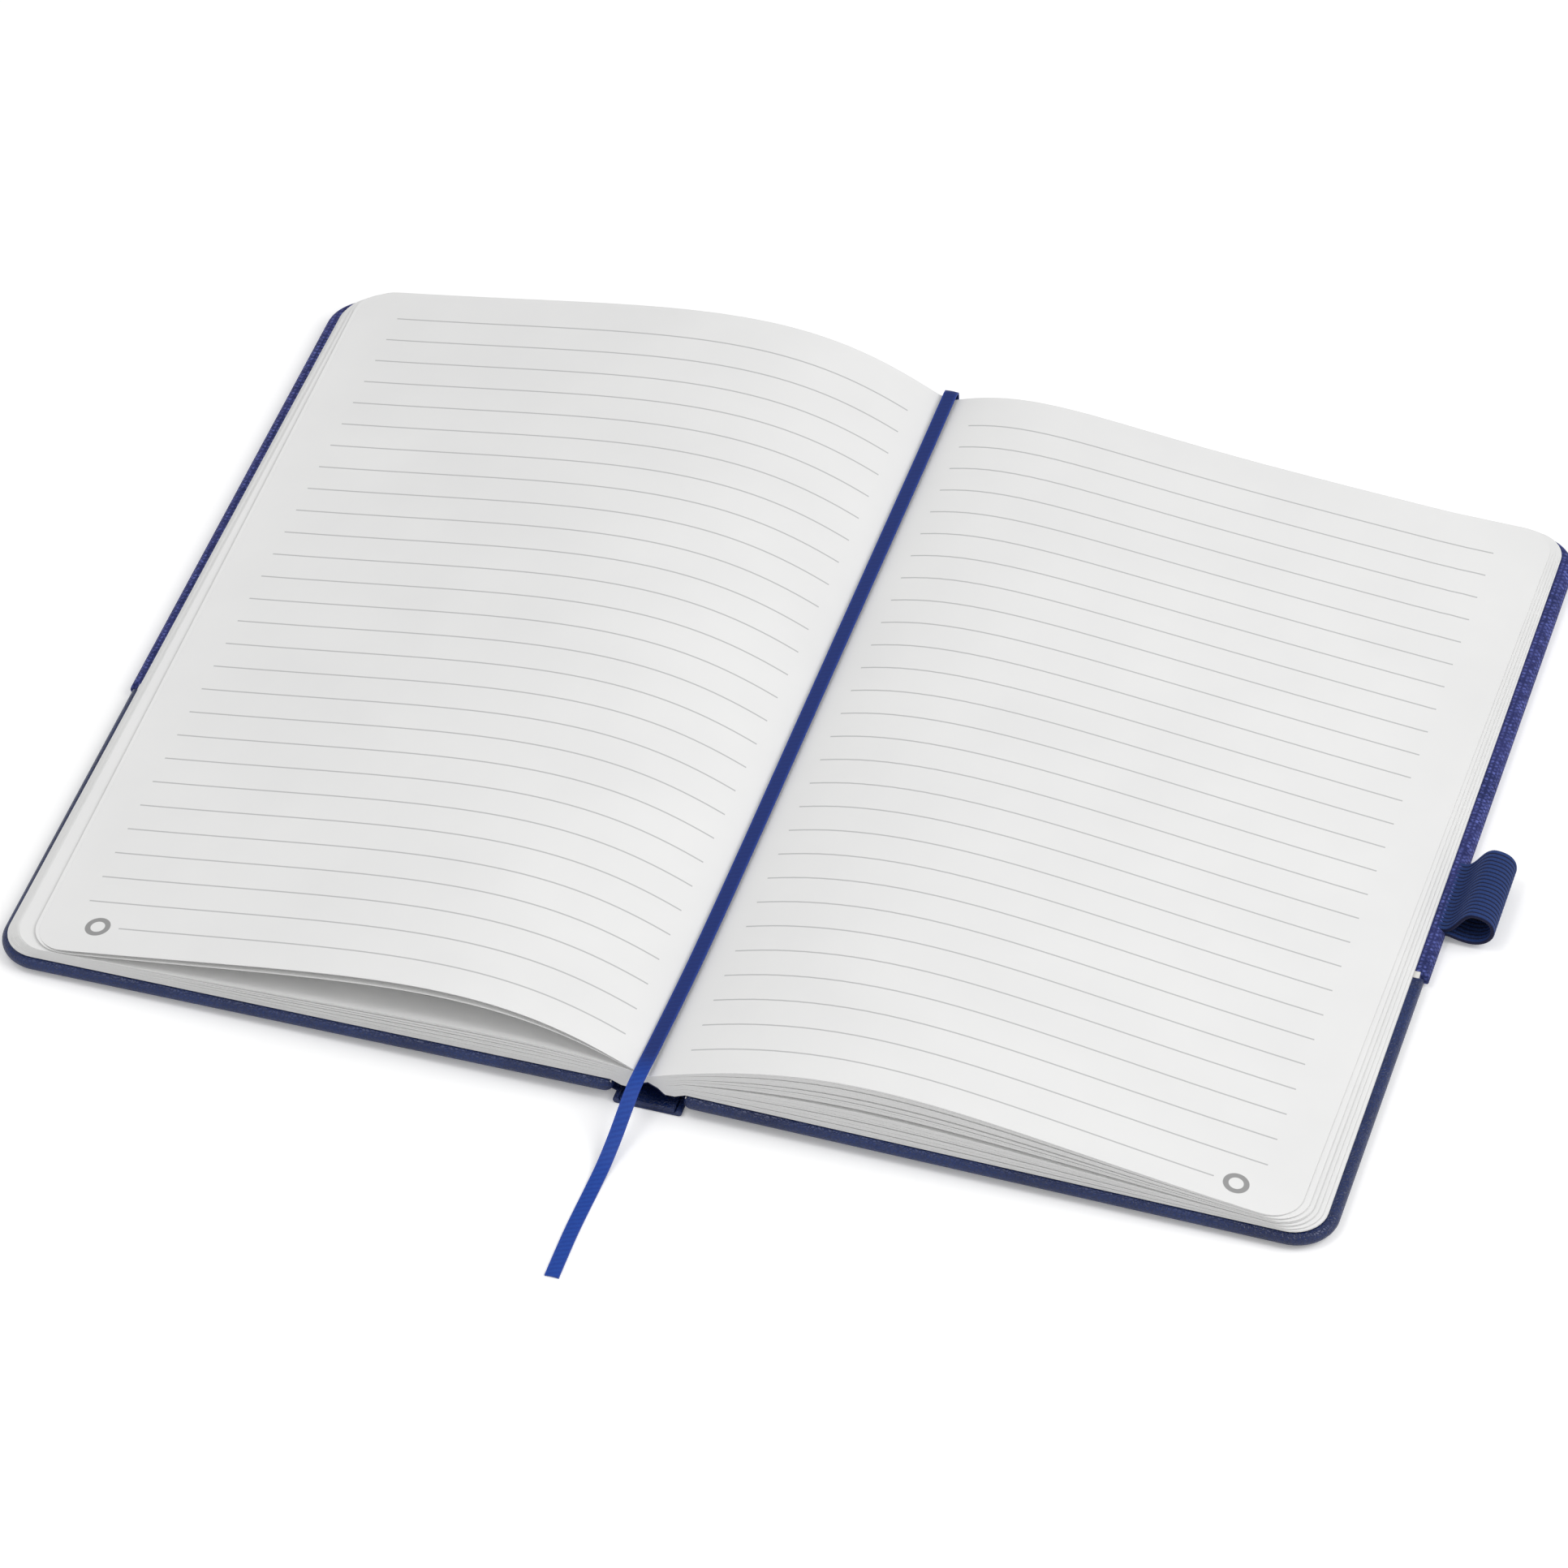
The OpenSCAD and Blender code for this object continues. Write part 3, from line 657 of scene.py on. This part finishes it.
LEFT_GAPS = {4: 0.15, 7: 0.25, 10: 0.3, 12: 0.2, 14: 0.35}
RIGHT_GAPS = {3: 0.35, 7: 0.4, 12: 1.1, 15: 0.3, 17: 0.5, 21: 0.45}
leaves_left = page_stack("leaves_left", -1, LEFT_COUNT, left_z,
                         lambda level: PAGE_W - 2.6 * level ** 1.4,
                         lambda level: -0.3, 0.0, LEFT_GAPS, 0.92, 11)
settle(leaves_left, "book_block", "page_paper", "text_block")
leaves_right = page_stack("leaves_right", 1, RIGHT_COUNT, right_z,
                          lambda level: PAGE_W_RIGHT - 3.4 * group_level(level) ** 1.2,
                          lambda level: 1.3 * group_level(level), 0.01, RIGHT_GAPS, 1.15, 12)
settle(leaves_right, "book_block", "page_paper", "text_block")


def lifted_leaves():
    """The left leaves that stand up in a curve over the others."""
    bm = bmesh.new()
    flat_page(bm, -1, PAGE_W, 60)
    pattern = bm.verts[:] + bm.edges[:] + bm.faces[:]
    for share, end, thick in ((0.88, LEAF_END + 0.8, 0.12), (1.0, LEAF_END, 0.14)):
        add_leaf(bm, pattern, end, LEAF_LEAN, 0.0,
                 lambda u, k, s=share, t=thick: lifted_z(u, k, s) - t,
                 lambda u, k, s=share: lifted_z(u, k, s))
    bmesh.ops.delete(bm, geom=[g for g in pattern if isinstance(g, bmesh.types.BMVert)],
                     context="VERTS")
    mark_edge_shade(bm)
    return new_object("lifted_leaves", bm, PAGE_PAPER)


settle(lifted_leaves(), "book_block", "page_paper", "text_block")


def on_hinge(bm, side):
    """Puts a part drawn as a flat right-hand cover on its hinge line. side is 1 for the back."""
    bmesh.ops.rotate(bm, cent=(0, 0, 0), matrix=Matrix.Rotation(COVER_TILT, 3, "Y"),
                     verts=bm.verts)
    bmesh.ops.translate(bm, vec=(HINGE_X, 0, HINGE_Z), verts=bm.verts)
    bmesh.ops.scale(bm, vec=(side, 1, 1), verts=bm.verts)


def rim(bm, z):
    """Outline edges of a slab at one height."""
    return [e for e in bm.edges
            if all(abs(v.co.z - z) < 1e-4 for v in e.verts) and e.calc_face_angle(0) > 0.5]


def soft_slab(w, y0, y1, z0, thick, corners, corner_r):
    """A slab from x = 0 to w with half-round edges all round. corners names the ends, low or high
    in y, that have round corners: a large one at the fore edge and a small one at the hinge."""
    bm = bmesh.new()
    made = bmesh.ops.create_grid(bm, x_segments=1, y_segments=1, size=0.5)["verts"]
    bmesh.ops.scale(bm, vec=(w, y1 - y0, 1), verts=made)
    middle_y = (y0 + y1) / 2
    bmesh.ops.translate(bm, vec=(w / 2, middle_y, z0), verts=made)
    cover_ends = [v for v in made if (v.co.y > middle_y and "high" in corners)
                  or (v.co.y < middle_y and "low" in corners)]
    hinge_ones = [v for v in cover_ends if v.co.x < w / 2]
    round_ones = [v for v in cover_ends if v.co.x > w / 2]
    bmesh.ops.bevel(bm, geom=round_ones, offset=corner_r, segments=16, profile=0.5,
                    affect="VERTICES", material=-1)
    bmesh.ops.bevel(bm, geom=hinge_ones, offset=thick * HINGE_CORNER, segments=6, profile=0.5,
                    affect="VERTICES", material=-1)
    raised = bmesh.ops.extrude_face_region(bm, geom=bm.faces[:])["geom"]
    bmesh.ops.translate(bm, vec=(0, 0, thick),
                        verts=[g for g in raised if isinstance(g, bmesh.types.BMVert)])
    bmesh.ops.recalc_face_normals(bm, faces=bm.faces)
    bmesh.ops.bevel(bm, geom=rim(bm, z0) + rim(bm, z0 + thick), offset=thick / 2 - 0.001,
                    segments=7, profile=0.5, affect="EDGES", material=-1)
    bmesh.ops.remove_doubles(bm, verts=bm.verts, dist=0.003)
    return bm


def sink_window(bm):
    """Lowers the inside of a cover within its turned border to below the board's face."""
    cuts = [((x, 0, 0), (1, 0, 0)) for x in (TURN_W - STEP, TURN_W, COVER_W - TURN_W,
                                            COVER_W - TURN_W + STEP)]
    window_y = COVER_H / 2 - TURN_W
    cuts += [((0, s * y, 0), (0, 1, 0)) for s in (-1, 1) for y in (window_y, window_y + STEP)]
    for place, facing in cuts:
        bmesh.ops.bisect_plane(bm, geom=bm.verts[:] + bm.edges[:] + bm.faces[:], dist=1e-5,
                               plane_co=place, plane_no=facing)
    for v in bm.verts:
        if abs(v.co.y) < window_y + 0.01 and TURN_W - 0.01 < v.co.x < COVER_W - TURN_W + 0.01:
            v.co.z = min(v.co.z, COVER_T - TURN_T - PASTE_ROOM)


def cover_pieces(label, side, seam_y, body):
    """The leatherette and the fabric of one cover, in place of the plain nodes."""
    half_h = COVER_H / 2
    head_y = half_h - (BACK_HEAD_DROP if side > 0 else 0.0)
    leather = soft_slab(COVER_W - FABRIC_OUT, -half_h + FABRIC_OUT, seam_y - SEAM_GAP / 2,
                        FABRIC_DROP, COVER_T - FABRIC_DROP, ("low",), COVER_R - FABRIC_OUT)
    sink_window(leather)
    on_hinge(leather, side)
    settle(new_object(label + "_cover_leatherette", leather, LEATHERETTE, 40), body,
           "navy_leatherette", label + "_leatherette")
    cloth = soft_slab(COVER_W, seam_y + SEAM_GAP / 2, head_y, 0, COVER_T, ("high",), COVER_R)
    sink_window(cloth)
    on_hinge(cloth, side)
    settle(new_object(label + "_cover_fabric", cloth, FABRIC, 40), body,
           "heather_fabric", label + "_fabric")


cover_pieces("front", -1, FRONT_SEAM_Y, "front_cover")
cover_pieces("back", 1, BACK_SEAM_Y, "back_cover")


def spine_outline():
    """Section of the covering on the spine, in X and Z: a flat strip with a roll at each side."""
    turns = 12
    right = []
    for i in range(turns + 1):
        angle = math.radians(-90 + 250 * i / turns)
        right.append((ROLL_X + ROLL_R * math.cos(angle), ROLL_R + ROLL_R * math.sin(angle)))
    right.append((ROLL_X - ROLL_R * 1.4, SPINE_T * 1.15))
    right.append((ROLL_X - ROLL_R * 2.2, SPINE_T))
    return right + [(-x, z) for x, z in reversed(right)]


def soft_bar(bm, size, middle, edge):
    """Adds a bar with soft edges to a piece."""
    bar = bmesh.ops.create_cube(bm, size=1)["verts"]
    bmesh.ops.scale(bm, vec=size, verts=bar)
    bmesh.ops.translate(bm, vec=middle, verts=bar)
    bmesh.ops.bevel(bm, geom=list({e for v in bar for e in v.link_edges}), offset=edge,
                    segments=3, profile=0.5, affect="EDGES", material=-1)


def spine_strip(name, y0, y1, bead_y0, bead_y1, material, slot, node):
    """One length of the covering on the spine, with its stretch of the two glued ridges that
    carry the pages, and with its end turned in over the card."""
    outline = spine_outline()
    bm = bmesh.new()
    ring = bmesh.ops.create_circle(bm, cap_ends=True, radius=1, segments=len(outline))["verts"]
    for v, (x, z) in zip(ring, outline):
        v.co = (x, y0, z)
    raised = bmesh.ops.extrude_face_region(bm, geom=bm.faces[:])["geom"]
    bmesh.ops.translate(bm, vec=(0, y1 - y0, 0),
                        verts=[g for g in raised if isinstance(g, bmesh.types.BMVert)])
    bmesh.ops.recalc_face_normals(bm, faces=bm.faces)
    ends = [e for e in bm.edges if abs(e.verts[0].co.y - e.verts[1].co.y) < 1e-4]
    bmesh.ops.bevel(bm, geom=ends, offset=0.2, segments=3, profile=0.5, affect="EDGES",
                    material=-1)
    for side in (-1, 1):
        soft_bar(bm, (BEAD_X1 - BEAD_X0, bead_y1 - bead_y0, SPINE_CORNER_Z - 0.2),
                 (side * (BEAD_X0 + BEAD_X1) / 2, (bead_y0 + bead_y1) / 2,
                  SPINE_CORNER_Z / 2 + 0.1), 0.45)
    at_tail = y0 < -PAGE_HALF
    inner = y0 + TURN_W if at_tail else y1 - TURN_W
    outer = y0 if at_tail else y1
    low = SPINE_T / 2
    high = SPINE_CARD_TOP + 0.3
    soft_bar(bm, (2 * (ROLL_X - ROLL_R), abs(inner - outer) - 0.2, high - low),
             (0, (inner + outer) / 2, (low + high) / 2), 0.3)
    settle(new_object(name, bm, material, 40), "book_block", slot, node)


SPINE_TAIL_Y = SPINE_TAIL_SHORT - COVER_H / 2
SPINE_HEAD_Y = COVER_H / 2 - SPINE_HEAD_SHORT
spine_strip("spine_cover_leatherette", SPINE_TAIL_Y, BACK_SEAM_Y, SPINE_TAIL_Y + BEAD_SHORT,
            BACK_SEAM_Y, LEATHERETTE, "navy_leatherette", "spine_leatherette")
spine_strip("spine_cover_fabric", BACK_SEAM_Y, SPINE_HEAD_Y, BACK_SEAM_Y,
            COVER_H / 2 - BEAD_SHORT, FABRIC, "heather_fabric", "spine_fabric")


def joint_sheet(name, side, y0, y1, line, thick, material):
    """A thin sheet across one joint, which follows the spine on one side and the cover on the
    other. line is its section in X and Z, from the spine outwards."""
    route = smooth_route([(x, 0, z) for x, z in line], 6)
    steps = len(route) - 1
    bm = bmesh.new()
    bmesh.ops.create_grid(bm, x_segments=steps, y_segments=24, size=0.5)
    upper = bmesh.ops.extrude_face_region(bm, geom=bm.faces[:])["geom"]
    upper = {g for g in upper if isinstance(g, bmesh.types.BMVert)}
    for v in bm.verts:
        at = route[round((v.co.x + 0.5) * steps)]
        v.co = (side * at.x, y0 + (v.co.y + 0.5) * (y1 - y0), at.z + (thick if v in upper else 0))
    sheet = new_object(name, bm, material, 60)
    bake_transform(sheet)


# Sections of the covering under a joint and of the end paper over it, and how far their ends
# stay from the cover's ends and the pages' ends
LEATHER_JOINT = [(6.3, 1.36), (6.9, 1.46), (7.8, 1.75), (8.9, 2.02)]
FABRIC_JOINT = [(6.3, 1.36), (6.9, 1.42), (7.8, 1.4), (9.2, 1.38)]
PAPER_JOINT = [(7.2, 5.26), (8.4, 5.31), (9.4, 5.31), (10.4, 5.3)]
JOINT_END = COVER_H / 2 - 3
PAPER_JOINT_END = PAGE_HALF - 1.5
for label, side, seam_y in (("front", -1, FRONT_SEAM_Y), ("back", 1, BACK_SEAM_Y)):
    joint_sheet(label + "_joint_leatherette", side, -JOINT_END, seam_y, LEATHER_JOINT, 0.25,
                LEATHERETTE)
    joint_sheet(label + "_joint_fabric", side, seam_y, JOINT_END, FABRIC_JOINT, 0.25, FABRIC)
    joint_sheet(label + "_joint_paper", side, -PAPER_JOINT_END, PAPER_JOINT_END, PAPER_JOINT, 0.06,
                END_PAPER)


def bezier(a, b, c, d, steps):
    """Points of a cubic curve, without its last one."""
    made = []
    for i in range(steps):
        t = i / steps
        s = 1 - t
        made.append(a * s ** 3 + b * (3 * s * s * t) + c * (3 * s * t * t) + d * t ** 3)
    return made


def loop_route():
    """Middle of the elastic, in X and Z of the flat cover, from its glued end round and back."""
    top_tab = Vector((COVER_W - TAB_L + 0.3, COVER_T - LOOP_T / 2))
    start = Vector((COVER_W - 0.6, COVER_T - LOOP_T / 2))
    crest = Vector((COVER_W + LOOP_OUT * 0.55, LOOP_TOP - LOOP_T / 2))
    far = Vector((COVER_W + LOOP_OUT - LOOP_T / 2, LOOP_TOP * 0.58))
    foot = Vector((COVER_W + LOOP_OUT * 0.5, 1.5))
    back = Vector((COVER_W - 0.6, COVER_T - 1.5 * LOOP_T))
    low_tab = Vector((COVER_W - TAB_L + 0.3, COVER_T - 1.5 * LOOP_T))
    soft = Vector((LOOP_OUT * 0.27, 0))
    tight = Vector((0, LOOP_TOP * 0.22))
    return ([top_tab] + bezier(start, start + soft, crest - soft, crest, 16)
            + bezier(crest, crest + soft, far + tight, far, 12)
            + bezier(far, far - tight, foot + soft, foot, 12)
            + bezier(foot, foot - soft * 0.9, back + soft * 0.8, back, 14)
            + [back, low_tab])


def band(route, across, width):
    """A flat grid for a band along a route, with a UV map that runs along and across it in metres.
    Gives the piece and each vertex's place: its point on the route, its share of the width, whether
    it is on the inner side."""
    steps = len(route) - 1
    bm = bmesh.new()
    bmesh.ops.create_grid(bm, x_segments=steps, y_segments=across, size=0.5)
    strip = bm.loops.layers.uv.new("strip")
    run = run_along(route)
    where = {v: (round((v.co.x + 0.5) * steps), v.co.y) for v in bm.verts}
    for f in bm.faces:
        for corner in f.loops:
            i, share = where[corner.vert]
            corner[strip].uv = (run[i] * MM, share * width * MM)
    inner = bmesh.ops.extrude_face_region(bm, geom=bm.faces[:])["geom"]
    inner = {g for g in inner if isinstance(g, bmesh.types.BMVert)}
    return bm, {v: (round((v.co.x + 0.5) * steps), v.co.y, v in inner) for v in bm.verts}


def run_along(route):
    """Length of the route up to each of its points."""
    run = [0.0]
    for a, b in zip(route, route[1:]):
        run.append(run[-1] + (b - a).length)
    return run


def pen_loop():
    """Ribbed elastic band bent into a loop, with both ends glued in the back cover."""
    route = loop_route()
    last = len(route) - 1
    bm, places = band(route, LOOP_RIBS * 6, LOOP_W)
    for v, (i, share, is_inner) in places.items():
        ahead = route[min(i + 1, last)] - route[max(i - 1, 0)]
        out = Vector((-ahead.y, ahead.x)).normalized()
        rib = abs(math.sin(math.pi * LOOP_RIBS * (share + 0.5)))
        depth = LOOP_T / 2 - RIB_DEPTH * (1 - rib ** 0.6)
        at = route[i] + out * (-depth if is_inner else depth)
        v.co = (at.x, LOOP_Y + share * LOOP_W, at.y)
    on_hinge(bm, 1)
    return new_object("ribbed_pen_loop", bm, ELASTIC, 60)


settle(pen_loop(), "back_cover", "elastic", "pen_loop")

# Middle of the ribbon, in millimetres, from inside the head of the spine to its cut end
RIBBON_Z = 9.9
TABLE_Z = 0.3
RIBBON_ROUTE = [
    (0, PAGE_HALF - 7.5, 2.4), (0, PAGE_HALF - 1.2, 2.5), (0, PAGE_HALF + 1.3, 4.2),
    (0, PAGE_HALF + 1.8, 7.4), (0, PAGE_HALF + 0.9, RIBBON_Z),
    (0, PAGE_HALF - 4, RIBBON_Z + 0.2), (0, PAGE_HALF * 0.8, RIBBON_Z),
    (0, PAGE_HALF * 0.4, RIBBON_Z), (0, 0, RIBBON_Z), (0, -PAGE_HALF * 0.4, RIBBON_Z),
    (-0.2, -PAGE_HALF * 0.7, RIBBON_Z), (-0.8, -PAGE_HALF * 0.92, RIBBON_Z),
    (-1.1, 0.3 - PAGE_HALF, RIBBON_Z), (-1.5, -PAGE_HALF - 4, RIBBON_Z - 0.9),
    (-1.9, -PAGE_HALF - 8, RIBBON_Z - 3), (-2.5, -PAGE_HALF - 13, 3.6),
    (-3.1, -PAGE_HALF - 18.5, 1.1), (-3.5, -PAGE_HALF - 25, TABLE_Z),
    (-3.8, -PAGE_HALF - 36, TABLE_Z), (-3.7, -PAGE_HALF - 48, TABLE_Z)]


def ribbon():
    """Satin ribbon, a little cupped, with firm edges."""
    route = smooth_route(RIBBON_ROUTE, 10)
    last = len(route) - 1
    bm, places = band(route, 10, RIBBON_W)
    side = Vector((1, 0, 0))
    for v, (i, share, is_inner) in places.items():
        ahead = (route[min(i + 1, last)] - route[max(i - 1, 0)]).normalized()
        up = side.cross(ahead).normalized()
        edge = abs(share) * 2
        thick = RIBBON_T * (0.36 + 0.14 * edge ** 6)
        cup = RIBBON_CUP * edge ** 2
        v.co = route[i] + side * (share * RIBBON_W) + up * ((-thick if is_inner else thick) + cup)
    piece = new_object("ribbon", bm, SATIN, 50)
    settle(piece, "book_block", "satin_ribbon", "ribbon_marker")


ribbon()

# Finishes of the CAD nodes that show as they are
for node, finish in (("spine_lining", LINING), ("spine_card", CARD), ("front_board", CARD),
                     ("back_board", CARD), ("front_pastedown", END_PAPER),
                     ("back_pastedown", END_PAPER)):
    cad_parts[node].data.materials.clear()
    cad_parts[node].data.materials.append(finish)


def camera():
    """Stands the camera where the photograph was taken from."""
    a = math.radians(CAMERA_AZIMUTH)
    e = math.radians(CAMERA_ELEVATION)
    back = Vector((math.sin(a) * math.cos(e), -math.cos(a) * math.cos(e), math.sin(e)))
    data = bpy.data.cameras.new("camera")
    data.lens = CAMERA_LENS
    data.clip_start = 0.05
    data.clip_end = 20
    made = bpy.data.objects.new("camera", data)
    bpy.context.scene.collection.objects.link(made)
    made.location = CAMERA_AIM + back * CAMERA_DISTANCE
    made.rotation_mode = "QUATERNION"
    made.rotation_quaternion = (-back).to_track_quat("-Z", "Y")
    bpy.context.scene.camera = made


def area_light(name, place, size, power):
    """A square soft light that points at the notebook."""
    data = bpy.data.lights.new(name, "AREA")
    data.shape = "SQUARE"
    data.size = size
    data.energy = power
    made = bpy.data.objects.new(name, data)
    bpy.context.scene.collection.objects.link(made)
    made.location = place
    made.rotation_mode = "QUATERNION"
    made.rotation_quaternion = (-Vector(place)).to_track_quat("-Z", "Y")


def studio():
    """A pale floor that keeps the shadow, a white world and soft lamps."""
    bm = bmesh.new()
    bmesh.ops.create_grid(bm, x_segments=1, y_segments=1, size=4000)
    bmesh.ops.translate(bm, vec=(0, 0, -0.05), verts=bm.verts)
    material, tree, shader = node_tree("white floor")
    shader.inputs["Base Color"].default_value = (0.95, 0.95, 0.95, 1)
    shader.inputs["Roughness"].default_value = 0.9
    seen = add(tree, "LightPath").outputs["Is Camera Ray"]
    glow = maths(tree, "MULTIPLY", seen, FLOOR_GLOW)
    shader.inputs["Emission Color"].default_value = (1, 1, 1, 1)
    tree.links.new(glow, shader.inputs["Emission Strength"])
    floor = new_object("floor", bm, material)
    world = bpy.data.worlds.new("studio")
    bpy.context.scene.world = world
    world.use_nodes = True
    sky = world.node_tree
    ground = sky.nodes["Background"]
    ground.inputs["Color"].default_value = (1, 1, 1, 1)
    plain = maths(sky, "MAXIMUM", add(sky, "LightPath").outputs["Is Camera Ray"], SKY_LIGHT)
    sky.links.new(plain, ground.inputs["Strength"])
    area_light("key", (1.0, -0.1, 1.1), 0.9, 9.5)
    area_light("fill", (-0.6, -0.9, 1.1), 1.0, 2.5)
    area_light("top", (-0.32, -0.36, 1.42), 0.3, 2.2)


camera()
studio()
bpy.context.scene.view_settings.view_transform = "Standard"
